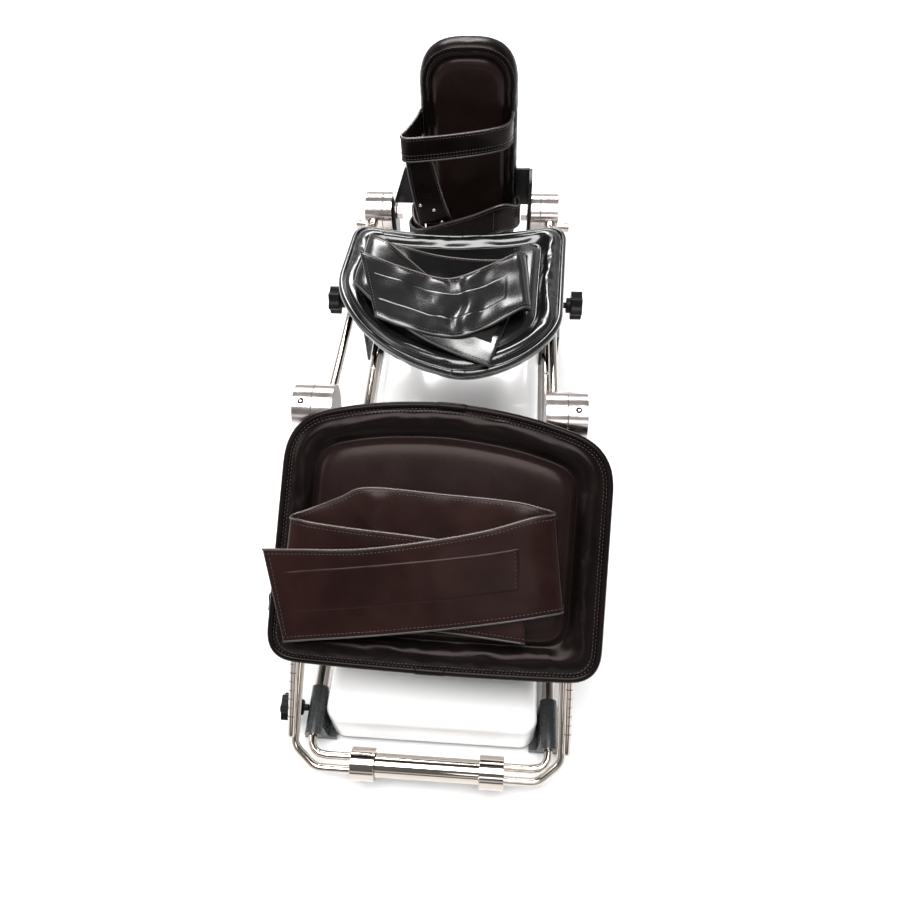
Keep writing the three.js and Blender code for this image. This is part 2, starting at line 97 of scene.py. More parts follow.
def new_piece(name, points, faces, material, smooth=True):
    mesh = bpy.data.meshes.new(name)
    mesh.from_pydata([tuple(p) for p in points], [], [tuple(f) for f in faces])
    mesh.update()
    mesh.polygons.foreach_set("use_smooth", [smooth] * len(mesh.polygons))
    mesh.materials.append(material)
    piece = bpy.data.objects.new(name, mesh)
    bpy.context.scene.collection.objects.link(piece)
    return piece


def attach(piece, body):
    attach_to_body(piece, body)


def grid_faces(rows, columns, closed):
    """Quads of a grid of points, row by row; closed joins the last column to the first."""
    faces = []
    for row in range(rows - 1):
        for column in range(columns if closed else columns - 1):
            after = (column + 1) % columns
            a, b = row * columns + column, row * columns + after
            faces.append((a, b, b + columns, a + columns))
    return faces


def spline(points, count):
    """Catmull-Rom curve through the points, evenly spaced by length, count points."""
    p = np.asarray(points, float)
    flat = p.reshape(len(p), -1)
    steps = np.linalg.norm(np.diff(flat, axis=0), axis=1)
    knots = np.concatenate([[0], np.cumsum(np.sqrt(steps))])
    slope = np.gradient(flat, knots, axis=0)
    t = np.linspace(0, knots[-1], count * 4)
    i = np.clip(np.searchsorted(knots, t, side="right") - 1, 0, len(knots) - 2)
    h = (knots[i + 1] - knots[i])[:, None]
    f = (t[:, None] - knots[i][:, None]) / h
    dense = ((2 * f**3 - 3 * f**2 + 1) * flat[i] + (f**3 - 2 * f**2 + f) * h * slope[i]
             + (3 * f**2 - 2 * f**3) * flat[i + 1] + (f**3 - f**2) * h * slope[i + 1])
    run = np.concatenate([[0], np.cumsum(np.linalg.norm(np.diff(dense, axis=0), axis=1))])
    even = np.linspace(0, run[-1], count)
    out = np.stack([np.interp(even, run, dense[:, k]) for k in range(dense.shape[1])], axis=1)
    return out.reshape((count,) + p.shape[1:])


def unit(v):
    return v / np.maximum(np.linalg.norm(v, axis=-1, keepdims=True), 1e-12)


def sweep(name, path, up, half_width, half_height, material, closed=True, sides=12):
    """A tube of elliptical section along a path; up is the section's height direction at each point."""
    path = np.asarray(path, float)
    if closed:
        tangent = unit(np.roll(path, -1, 0) - np.roll(path, 1, 0))
    else:
        tangent = unit(np.gradient(path, axis=0))
    up = unit(up - (up * tangent).sum(1, keepdims=True) * tangent)
    side = np.cross(tangent, up)
    around = np.linspace(0, 2 * math.pi, sides, endpoint=False)
    ring = (path[:, None] + half_width * np.cos(around)[None, :, None] * side[:, None]
            + half_height * np.sin(around)[None, :, None] * up[:, None])
    count = len(path)
    faces = grid_faces(count, sides, True)
    if closed:
        last = (count - 1) * sides
        faces += [(last + k, last + (k + 1) % sides, (k + 1) % sides, k) for k in range(sides)]
    else:
        faces += [tuple(range(sides))[::-1], tuple((count - 1) * sides + k for k in range(sides))]
    return new_piece(name, ring.reshape(-1, 3), [f[::-1] for f in faces], material)


def stitch_row(points, normals, pitch, length, thickness):
    """Small thread loops along a line: (points, faces). Each is a thin spindle, half sunk."""
    points, normals = np.asarray(points, float), np.asarray(normals, float)
    run = np.concatenate([[0], np.cumsum(np.linalg.norm(np.diff(points, axis=0), axis=1))])
    count = max(2, int(run[-1] / pitch))
    centres = (np.arange(count) + 0.5) * run[-1] / count

    def sample(where, what):
        return np.stack([np.interp(where, run, what[:, k]) for k in range(3)], 1)

    middle, normal = sample(centres, points), unit(sample(centres, normals))
    along = unit(sample(np.minimum(centres + pitch / 3, run[-1]), points)
                 - sample(np.maximum(centres - pitch / 3, 0), points))
    side = np.cross(normal, along)
    vertices, faces = [], []
    for m, n, a, s in zip(middle, normal, along, side):
        spindle_vertices, spindle_faces = spindle(m, n, a, s, length, thickness, len(vertices))
        vertices += spindle_vertices
        faces += spindle_faces
    return vertices, faces


def spindle(middle, normal, along, side, length, thickness, start):
    """One stitch: four rings along it, thin at both ends. Its vertices are numbered from start."""
    sides, sink = 5, 0.3
    rings = ((-0.5, 0.35), (-0.25, 1.0), (0.25, 1.0), (0.5, 0.35))
    vertices, faces = [], []
    for place, size in rings:
        for k in range(sides):
            turn = 2 * math.pi * k / sides
            vertices.append(middle + along * place * length + thickness / 2 * size
                            * (side * math.cos(turn) + normal * (sink + math.sin(turn))))
    for ring in range(len(rings) - 1):
        for k in range(sides):
            base, after = start + ring * sides, (k + 1) % sides
            faces.append((base + k, base + sides + k, base + sides + after, base + after))
    last = start + (len(rings) - 1) * sides
    faces.append(tuple(start + k for k in range(sides)))
    faces.append(tuple(last + k for k in range(sides))[::-1])
    return vertices, faces


def join_rows(rows):
    vertices, faces = [], []
    for v, f in rows:
        faces += [tuple(i + len(vertices) for i in face) for face in f]
        vertices += list(v)
    return vertices, faces


# ---- materials

class Surface:
    """A principled material with short calls for its texture nodes."""

    def __init__(self, name, **sockets):
        self.material = bpy.data.materials.new(name)
        self.material.use_nodes = True
        self.tree = self.material.node_tree
        self.shader = self.tree.nodes["Principled BSDF"]
        for socket, value in sockets.items():
            self.shader.inputs[socket.replace("_", " ")].default_value = value
        self.place = self.tree.nodes.new("ShaderNodeTexCoord").outputs["Object"]

    def node(self, kind, links=None, **values):
        node = self.tree.nodes.new("ShaderNode" + kind)
        for key, value in values.items():
            if hasattr(node, key):
                setattr(node, key, value)
            else:
                node.inputs[key.replace("_", " ")].default_value = value
        for socket, source in (links or {}).items():
            self.tree.links.new(source, node.inputs[socket])
        return node

    def noise(self, scale, detail):
        return self.node("TexNoise", {"Vector": self.place}, Scale=scale, Detail=detail).outputs["Fac"]

    def cells(self, scale, feature="DISTANCE_TO_EDGE"):
        texture = self.node("TexVoronoi", {"Vector": self.place}, feature=feature, Scale=scale)
        return texture.outputs["Distance"]

    def between(self, fac, low, high, start=0.3, end=0.7):
        """The factor's range start..end spread over low..high."""
        node = self.node("MapRange", {"Value": fac})
        for socket, value in (("From Min", start), ("From Max", end), ("To Min", low), ("To Max", high)):
            node.inputs[socket].default_value = value
        return node.outputs[0]

    def colours(self, fac, first, second, start=0.35, end=0.65):
        """A colour that goes from first to second over the factor's range start..end."""
        node = self.node("ValToRGB", {"Fac": fac})
        low, high = node.color_ramp.elements
        low.position, high.position = start, end
        low.color, high.color = (*first, 1), (*second, 1)
        return node.outputs["Color"]

    def set(self, socket, output):
        self.tree.links.new(output, self.shader.inputs[socket])

    def bump(self, *layers):
        """Layers are (height output, depth in millimetres, strength)."""
        normal = None
        for height, depth, strength in layers:
            links = {"Height": height}
            if normal is not None:
                links["Normal"] = normal
            normal = self.node("Bump", links, Distance=depth * MM, Strength=strength).outputs["Normal"]
        self.set("Normal", normal)


def leather(name, dark, light, rough=(0.22, 0.33), level=0.09, coat=0.015, tint=(1.0, 0.82, 0.77)):
    s = Surface(name, Specular_IOR_Level=level, Coat_Weight=coat, Coat_Roughness=0.18,
                Specular_Tint=(*tint, 1))
    s.set("Base Color", s.colours(s.noise(16, 5), dark, light))
    s.set("Roughness", s.between(s.noise(34, 6), *rough))
    s.bump((s.noise(22, 3), 1.2, 0.09), (s.noise(420, 3), 0.2, 0.22), (s.cells(1150), 0.1, 0.3))
    return s.material


def chrome(name, rough=(0.04, 0.09), tint=(0.50, 0.45, 0.405)):
    s = Surface(name, Metallic=1.0)
    # The base colour is the metal's own reflectance, made darker and warmer as a painted reflection of brown
    # surroundings.
    s.set("Base Color", s.colours(s.noise(9, 3), tint, tuple(c * 1.07 for c in tint)))
    s.set("Roughness", s.between(s.noise(75, 7), *rough))
    s.bump((s.noise(45, 3), 0.12, 0.05), (s.noise(1500, 2), 0.02, 0.08))
    return s.material


def moulding(name, dark, light, rough=(0.32, 0.45), grain=900, level=0.5):
    s = Surface(name, Specular_IOR_Level=level)
    s.set("Base Color", s.colours(s.noise(40, 4), dark, light))
    s.set("Roughness", s.between(s.noise(120, 5), *rough))
    s.bump((s.noise(30, 3), 0.4, 0.05), (s.noise(grain, 3), 0.04, 0.2))
    return s.material


def white_shell(name):
    s = Surface(name, Coat_Weight=0.7, Coat_Roughness=0.05, Specular_IOR_Level=0.5)
    s.set("Base Color", s.colours(s.noise(5, 2), (0.87, 0.865, 0.855), (0.89, 0.885, 0.875), 0.2, 0.8))
    s.set("Roughness", s.between(s.noise(20, 3), 0.16, 0.2, 0.1, 0.9))
    s.bump((s.noise(900, 2), 0.01, 0.1))
    return s.material


def fuzzy(name):
    s = Surface(name, Roughness=0.95, Specular_IOR_Level=0.08, Sheen_Weight=0.06, Sheen_Roughness=0.5)
    s.set("Base Color", s.colours(s.noise(700, 4), (0.002, 0.002, 0.002), (0.012, 0.011, 0.010)))
    s.bump((s.noise(900, 3), 0.8, 0.8), (s.cells(1400, "F1"), 0.4, 0.6))
    return s.material


def board_green(name):
    s = Surface(name, Roughness=0.4)
    tracks = s.between(s.cells(300), 0.0, 1.0, 0.02, 0.06)
    s.set("Base Color", s.colours(tracks, (0.02, 0.12, 0.05), (0.01, 0.06, 0.03), 0.2, 0.8))
    s.bump((tracks, 0.1, 0.3))
    return s.material


THIGH_LEATHER = leather("thigh_leather", (0.0026, 0.0018, 0.0017), (0.0046, 0.0030, 0.0028))
PANEL_LEATHER = leather("panel_leather", (0.0078, 0.0042, 0.0039), (0.0112, 0.0064, 0.0060), (0.22, 0.3),
                        level=0.08)
BELT_LEATHER = leather("belt_leather", (0.0080, 0.0030, 0.0027), (0.0140, 0.0054, 0.0047), (0.26, 0.36),
                       level=0.13)
CALF_LEATHER = leather("calf_leather", (0.0036, 0.0036, 0.0037), (0.0062, 0.0060, 0.0061), (0.13, 0.22),
                       level=0.5, coat=0.35, tint=(1.0, 1.0, 0.98))
# Painted highlight: a lighter leather for the straps' far edge rolls, standing for the light line along those
# edges.
FAR_EDGE_HIGHLIGHT_LEATHER = leather("far_edge_highlight_leather", (0.024, 0.019, 0.018), (0.038, 0.032, 0.031), (0.22, 0.32),
                       level=0.5, coat=0.4)
THREAD = moulding("thread", (0.011, 0.008, 0.0075), (0.026, 0.020, 0.019), (0.35, 0.5), 2500)
VELCRO = fuzzy("velcro")
CHROME = chrome("chrome")
# Its warm pinkish tint is a painted reflection of warm surroundings on the discs.
SATIN_CHROME = chrome("satin_chrome", (0.16, 0.24), (0.68, 0.61, 0.585))
STEEL = chrome("steel", (0.26, 0.34), (0.56, 0.56, 0.57))
BRONZE = chrome("bronze", (0.25, 0.4), (0.55, 0.36, 0.17))
BLACK_MOULDING = moulding("black_moulding", (0.020, 0.022, 0.022), (0.028, 0.031, 0.031), (0.22, 0.32),
                          level=0.35)
KNOB_MOULDING = moulding("knob_moulding", (0.0060, 0.0048, 0.0044), (0.0105, 0.0085, 0.0080), (0.3, 0.42),
                         700, 0.08)
BLACK_STEEL = moulding("black_steel", (0.0060, 0.0060, 0.0062), (0.0110, 0.0108, 0.0110), (0.26, 0.38),
                       1600, 0.2)
RUBBER = moulding("rubber", (0.012, 0.012, 0.012), (0.02, 0.02, 0.02), (0.6, 0.75), 500)
WHITE = white_shell("white_shell")
BOARD = board_green("board_green")
MARK_INK = moulding("mark_ink", (0.012, 0.012, 0.013), (0.02, 0.02, 0.022), (0.4, 0.5), 1500)


# ---- hard parts

def edge_smoothing():
    """Node group that welds a CAD mesh and shades it smooth except over sharp edges."""
    weld_distance, sharp_angle = 0.002 * MM, math.radians(32)
    group = bpy.data.node_groups.new("edge_smoothing", "GeometryNodeTree")
    group.interface.new_socket("Geometry", in_out="INPUT", socket_type="NodeSocketGeometry")
    group.interface.new_socket("Geometry", in_out="OUTPUT", socket_type="NodeSocketGeometry")
    make = group.nodes.new
    start, end = make("NodeGroupInput"), make("NodeGroupOutput")
    plain = make("GeometryNodeRemoveAttribute")
    plain.inputs["Name"].default_value = "custom_normal"
    weld = make("GeometryNodeMergeByDistance")
    weld.inputs["Distance"].default_value = weld_distance
    faces, edges = make("GeometryNodeSetShadeSmooth"), make("GeometryNodeSetShadeSmooth")
    edges.domain = "EDGE"
    angle, small = make("GeometryNodeInputMeshEdgeAngle"), make("FunctionNodeCompare")
    small.operation = "LESS_THAN"
    small.inputs["B"].default_value = sharp_angle
    link = group.links.new
    link(start.outputs[0], plain.inputs["Geometry"])
    link(plain.outputs["Geometry"], weld.inputs["Geometry"])
    link(weld.outputs["Geometry"], faces.inputs["Geometry"])
    link(faces.outputs["Geometry"], edges.inputs["Geometry"])
    link(angle.outputs["Unsigned Angle"], small.inputs["A"])
    link(small.outputs["Result"], edges.inputs["Shade Smooth"])
    link(edges.outputs["Geometry"], end.inputs[0])
    return group


SMOOTHING = edge_smoothing()


def finish_node(name, material, round_over):
    """A CAD node's material, smooth shading and, where it shows, a small rounded edge in millimetres."""
    node = nodes[name]
    node.data.materials.clear()
    node.data.materials.append(material)
    shading = node.modifiers.new("shading", "NODES")
    shading.node_group = SMOOTHING
    if round_over:
        bevel = node.modifiers.new("round_over", "BEVEL")
        bevel.width, bevel.segments = round_over * MM, 2
        bevel.limit_method = "ANGLE"
        bevel.angle_limit = math.radians(38)
        bevel.harden_normals = bevel.use_clamp_overlap = True


def finish_hard_parts():
    """Material, slot, rounded edge in millimetres, CAD nodes; a pair has one name."""
    looks = (
        (WHITE, "white_shell", 0.0, "housing_cover"),
        (BLACK_MOULDING, "black_moulding", 0.0, "base_tray"),
        (BLACK_MOULDING, "black_moulding", 0.3, "power_inlet"),
        (BLACK_MOULDING, "black_moulding", 0.6, "thigh_clamp calf_clamp"),
        (BLACK_MOULDING, "black_moulding", 0.8, "hip_fitting foot_fitting carriage_shoe"),
        (KNOB_MOULDING, "black_moulding", 0.8, "base_lock_knob thigh_knob calf_knob"),
        (CHROME, "chrome", 0.0, "base_u_rod thigh_u_rod thigh_rod calf_rod"),
        (CHROME, "chrome", 0.2, "calf_tube ankle_screw"),
        (CHROME, "chrome", 0.3, "rail hip_sleeve"),
        (CHROME, "chrome", 0.6, "hip_collar"),
        (SATIN_CHROME, "chrome", 0.5, "ankle_outer_disc carriage_upright"),
        (SATIN_CHROME, "chrome", 0.7, "knee_outer_disc knee_inner_disc"),
        (STEEL, "steel", 0.2, "lead_screw"),
        (STEEL, "steel", 0.3, "drive_slider"),
        (STEEL, "steel", 0.4, "gear_motor bearing_block carriage_bridge"),
        (BRONZE, "bronze", 0.3, "drive_nut"),
        (BLACK_STEEL, "black_steel", 0.4, "foot_bracket"),
        (BLACK_STEEL, "black_steel", 0.5, "thigh_cradle calf_cradle"),
        (RUBBER, "rubber_foot", 0.5, "hip_rubber_foot foot_rubber_foot"),
        (BOARD, "circuit_board", 0.0, "control_board"),
    )
    for material, slot, round_over, stems in looks:
        for stem in stems.split():
            for name in (stem, stem + "_left", stem + "_right"):
                if name in nodes:
                    finish_node(name, material, round_over)


finish_hard_parts()


# ---- cushions

def bowed(a, b, bow, count):
    """Corner points of a chain from a to b that bulges to the right of that direction by bow."""
    a, b = np.array(a, float), np.array(b, float)
    along = unit(b - a)
    out = np.array([along[1], -along[0]])
    share = np.linspace(0, 1, count + 2)[1:-1]
    return [tuple(a + (b - a) * s + out * bow * 4 * s * (1 - s)) for s in share]


def turned_left(directions):
    return np.stack([-directions[:, 1], directions[:, 0]], 1)


class Outline:
    """A closed outline with rounded corners, anticlockwise in (x, u), that can be drawn inset."""

    spacing = 5.0
    corner_steps = 9
    sharp_turn = 0.3

    def __init__(self, corners, cuts, least):
        """Cuts are how far each corner is cut back; least is what a sharp one keeps when inset."""
        self.corners = np.array(corners, float)
        self.cuts = np.array(cuts, float)
        edge = np.roll(self.corners, -1, 0) - self.corners
        length = np.linalg.norm(edge, axis=1)
        out_direction = edge / length[:, None]
        in_direction = np.roll(out_direction, 1, 0)
        cross = in_direction[:, 0] * out_direction[:, 1] - in_direction[:, 1] * out_direction[:, 0]
        dot = (in_direction * out_direction).sum(1)
        self.half_turn = np.tan(np.arctan2(cross, dot) / 2)
        self.miter = (turned_left(in_direction) + turned_left(out_direction)) / (1 + dot)[:, None]
        self.out_direction, self.in_direction = out_direction, in_direction
        self.least = np.where(self.half_turn > self.sharp_turn, least, 2.5)
        straight = length - self.cuts - np.roll(self.cuts, -1)
        self.edge_steps = np.maximum(1, (straight / self.spacing).astype(int))

    def draw(self, inset=0.0):
        """The outline's points, moved inwards by inset."""
        corner = self.corners + inset * self.miter
        cut = np.maximum(self.cuts - inset * self.half_turn, self.least)
        count = len(corner)
        room = np.linalg.norm(np.roll(corner, -1, 0) - corner, axis=1) * 0.97
        for i in range(count):
            j = (i + 1) % count
            flatter = i if self.half_turn[i] < self.half_turn[j] else j
            cut[flatter] = max(0.5, cut[flatter] - max(0.0, cut[i] + cut[j] - room[i]))
        points, arcs = [], []
        t = np.linspace(0, 1, self.corner_steps)[:, None]
        for i in range(count):
            first = corner[i] - cut[i] * self.in_direction[i]
            last = corner[i] + cut[i] * self.out_direction[i]
            arcs.append((1 - t) ** 2 * first + 2 * t * (1 - t) * corner[i] + t**2 * last)
        for i in range(count):
            points.append(arcs[i])
            following = arcs[(i + 1) % count][0]
            share = np.linspace(0, 1, self.edge_steps[i] + 1)[1:-1, None]
            points.append(arcs[i][-1] * (1 - share) + following * share)
        return np.concatenate(points)


class Pad:
    """A stuffed pad: rings of an outline at the heights of a section, closed over the top and bottom."""

    crown = 2.0
    floor_rings = 5

    def __init__(self, link, outline, base, section, lift=None, inner_rings=9):
        """A section is (inset, height, kind) rows from the floor up; without a kind a row can swell."""
        self.link, self.outline, self.lift = link, outline, lift
        top_inset, top_height = section[-1][:2]
        centre = outline.draw(top_inset).mean(0)
        rings, self.kinds = [], []
        floor_inset, floor_height = section[0][:2]
        floor = outline.draw(floor_inset)
        for share in np.linspace(0.12, 0.85, self.floor_rings):
            rings.append(self.ring(centre + (floor - centre) * share, base + floor_height))
            self.kinds.append("floor")
        for inset, height, *kind in section:
            rings.append(self.ring(outline.draw(inset), base + height))
            self.kinds.append(kind[0] if kind else "free")
        panel = outline.draw(top_inset)
        for share in np.linspace(1, 0.06, inner_rings + 2)[1:]:
            dome = self.crown * (1 - share**2)
            rings.append(self.ring(centre + (panel - centre) * share, base + top_height + dome))
            self.kinds.append("panel")
        self.rings = np.array(rings)
        self.size = self.rings.shape[1]

    def ring(self, xu, height):
        ring = np.column_stack([xu, np.full(len(xu), float(height))])
        if self.lift:
            ring[:, 2] += self.lift(ring[:, 0], ring[:, 1])
        return ring

    def build(self, name, material, panel_material=None):
        count, size = self.rings.shape[:2]
        points = self.rings.reshape(-1, 3)
        faces = grid_faces(count, size, True)
        caps = [self.rings[0].mean(0), self.rings[-1].mean(0)]
        low, high = len(points), len(points) + 1
        faces += [(k, low, (k + 1) % size) for k in range(size)]
        top = (count - 1) * size
        faces += [(top + k, top + (k + 1) % size, high) for k in range(size)]
        points = np.vstack([points, caps])
        piece = new_piece(name, self.link.at(points), faces, material)
        if panel_material:
            piece.data.materials.append(panel_material)
            first = self.kinds.index("panel") * size
            for polygon in piece.data.polygons:
                if min(polygon.vertices) >= first:
                    polygon.material_index = 1
        return piece

    def fixed(self):
        """Indices of the vertices that stay where they are while the pad is filled."""
        held = [i for i, kind in enumerate(self.kinds) if kind != "free"]
        caps = [len(self.kinds) * self.size, len(self.kinds) * self.size + 1]
        return [ring * self.size + k for ring in held for k in range(self.size)] + caps


def fill_with_air(piece, held, limit, slack):
    """Cloth under pressure, seams held: the panels swell and wrinkle by limit at most."""
    frames, pressure = 20, 4.0
    mesh = piece.data
    rest = np.array([v.co for v in mesh.vertices], float)
    group = piece.vertex_groups.new(name="seams")
    group.add([int(i) for i in held], 1.0, "REPLACE")
    cloth = piece.modifiers.new("filling", "CLOTH")
    settings = cloth.settings
    settings.vertex_group_mass = "seams"
    settings.quality, settings.mass = 6, 0.25
    settings.tension_stiffness = settings.compression_stiffness = 18
    settings.shear_stiffness, settings.bending_stiffness = 8, 0.35
    settings.shrink_min = -slack
    settings.use_pressure = True
    settings.uniform_pressure_force = pressure
    settings.effector_weights.gravity = 0.0
    cloth.point_cache.frame_start, cloth.point_cache.frame_end = 1, frames
    for step in range(1, frames + 1):
        bpy.context.scene.frame_set(step)
    shaped = piece.evaluated_get(bpy.context.evaluated_depsgraph_get())
    moved = np.array([v.co for v in shaped.data.vertices], float) - rest
    piece.modifiers.remove(cloth)
    piece.vertex_groups.remove(group)
    bpy.context.scene.frame_set(1)
    length = np.linalg.norm(moved, axis=1, keepdims=True)
    capped = moved * np.minimum(1, limit * MM / np.maximum(length, 1e-9))
    mesh.vertices.foreach_set("co", (rest + capped).astype(np.float32).ravel())
    mesh.update()


def pucker(piece, pad, seed):
    """Fine radial gathers beside the seams, in patches along the outline."""
    fades = (1.0, 0.9, 0.6, 0.25)
    far_off = len(fades)
    mesh = piece.data
    size = pad.size
    outline = pad.outline.draw(0)
    run = np.concatenate([[0], np.cumsum(np.linalg.norm(np.diff(outline, axis=0), axis=1))])
    wave = np.array([noise.noise(Vector((r / 11.0, seed, 0))) + 0.5 * noise.noise(Vector((r / 5.0, seed, 3)))
                     for r in run])
    patch = np.array([max(0, 0.35 + noise.noise(Vector((r / 90.0, seed, 7)))) for r in run])
    co = np.array([v.co for v in mesh.vertices], float)
    normals = np.array([v.normal for v in mesh.vertices], float)
    top_seams = [i for i, kind in enumerate(pad.kinds) if kind == "seam" and i > 8]
    for ring, kind in enumerate(pad.kinds):
        near = min((abs(ring - i) for i in top_seams), default=far_off)
        if kind == "free" and near < far_off:
            window = slice(ring * size, (ring + 1) * size)
            amount = (wave * patch)[:, None] * MM * fades[near]
            co[window] += normals[window] * amount
    mesh.vertices.foreach_set("co", co.astype(np.float32).ravel())
    mesh.update()


def subdivide(piece):
    modifier = piece.modifiers.new("surface", "SUBSURF")
    modifier.levels = modifier.render_levels = 1


def surface_line(piece, link, xu, height):
    """Points and normals where lines square to the link meet the piece, from above."""
    reach = 0.12
    mesh = piece.data
    tree = BVHTree.FromPolygons([v.co for v in mesh.vertices], [p.vertices for p in mesh.polygons])
    points, normals = [], []
    for x, u in xu:
        start = Vector(link.at((x, u, height)))
        hit, normal, _, _ = tree.ray_cast(start, Vector(-link.normal), reach)
        if hit is not None:
            points.append(tuple(hit))
            normals.append(tuple(normal if normal.dot(Vector(link.normal)) > 0 else -normal))
    return np.array(points), np.array(normals)


def sew_round(name, piece, link, outline, insets, height, body, pitch=STITCH_PITCH):
    """Rows of stitches that follow an outline at given insets, on the piece's surface."""
    rows = []
    for inset in insets:
        xu = outline.draw(inset)
        points, normals = surface_line(piece, link, np.vstack([xu, xu[:1]]), height)
        rows.append(stitch_row(points, normals, pitch * MM, STITCH_LENGTH * MM, THREAD_THICKNESS * MM))
    threads = new_piece(name, *join_rows(rows), THREAD)
    attach(threads, body)


def bind_edge(name, pad, height, body, material, joins):
    """A bound edge round a pad, with a short overlap at each (x, u) place where it is joined."""
    inset = 2.2
    xu = pad.outline.draw(inset)
    ring = pad.ring(xu, height)
    up = np.tile(pad.link.normal, (len(ring), 1))
    path = pad.link.at(ring)
    binding = sweep(name, path, up, 4.2 * MM, 4.6 * MM, material)
    overlaps = []
    for number, join in enumerate(joins, 1):
        centre = int(np.linalg.norm(xu - np.array(join), axis=1).argmin())
        pick = [(centre + k) % len(xu) for k in range(-2, 3)]
        overlaps.append(sweep(f"{name}_overlap_{number}", path[pick], up[pick], 4.9 * MM, 5.3 * MM,
                              material, closed=False))
    for piece in [binding] + overlaps:
        subdivide(piece)
        attach(piece, body)


def thigh_cushion():
    near_left, near_right, far_right, far_left = (-177, 139), (183, 133), (191, 381), (-162, 402)
    near = bowed(near_left, near_right, 4, 3)
    far = bowed(far_right, far_left, 33, 3)
    corners = [near_left, *near, near_right, far_right, *far, far_left]
    cuts = [32, 40, 40, 40, 32, 44, 40, 40, 40, 46]
    outline = Outline(corners, cuts, least=26)
    base = 42
    section = [(34, 0, "floor"), (12, 0, "floor"), (4, 1.2, "seam"), (0.6, 5), (0, 9),
               (1.5, 13, "seam"), (6, 15.5, "seam"), (9, 18), (13, 20.5), (18, 22), (23, 22), (28, 20),
               (32, 16.5), (35.5, 13.0, "seam"), (37.5, 13.6, "panel"), (40, 17.5, "panel"),
               (43, 20.6, "panel"), (48, 22.3, "panel"), (56, 23.2, "panel")]
    pad = Pad(thigh, outline, base, section)
    piece = pad.build("thigh_cushion_pad", THIGH_LEATHER, PANEL_LEATHER)
    fill_with_air(piece, pad.fixed(), 1.6, 0.008)
    pucker(piece, pad, 2.0)
    sew_round("thigh_cushion_stitching", piece, thigh, outline, (6.0, 9.5), 110, "thigh")
    subdivide(piece)
    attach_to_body(piece, "thigh")
    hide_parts("thigh_cushion")
    bind_edge("thigh_cushion_binding", pad, base + 13, "thigh", THIGH_LEATHER, ((12, 423), (2, 131)))


def calf_lift(x, u):
    """The calf cushion is dished: its sides stand higher than its middle, all along u."""
    rise, half_width = 12.0, 145.0
    return rise * np.clip(np.abs(x) / half_width, 0, 1.1) ** 2


def calf_cushion():
    far_right, far_left = (147, 329), (-139, 323)
    left, near, right = (-144, 186), (24, 36), (136, 117)
    corners = [left, *bowed(left, near, 32, 3), near, *bowed(near, right, 18, 2), right,
               far_right, *bowed(far_right, far_left, -9, 3), far_left]
    cuts = [30, 28, 28, 28, 22, 22, 22, 24, 34, 30, 30, 30, 26]
    outline = Outline(corners, cuts, least=20)
    base = 10.5
    section = [(26, 0, "floor"), (9, 0, "floor"), (3, 1.2, "seam"), (0.4, 5), (0, 9),
               (1.5, 13, "seam"), (6, 15.5, "seam"), (9, 19), (13, 22), (18, 23.5), (23, 22.5), (27, 19),
               (30, 14.5, "seam"), (32, 15.4, "panel"), (36, 18.8, "panel"), (42, 20.5, "panel"),
               (51, 21, "panel")]
    pad = Pad(calf, outline, base, section, calf_lift)
    piece = pad.build("calf_cushion_pad", CALF_LEATHER)
    fill_with_air(piece, pad.fixed(), 1.8, 0.01)
    pucker(piece, pad, 5.0)
    sew_round("calf_cushion_stitching", piece, calf, outline, (5.5, 8.5), 110, "calf_slide")
    subdivide(piece)
    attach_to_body(piece, "calf_slide")
    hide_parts("calf_cushion")
    bind_edge("calf_cushion_binding", pad, base + 13, "calf_slide", CALF_LEATHER, ((20, 307), (20, 30)))


# ---- belts and straps

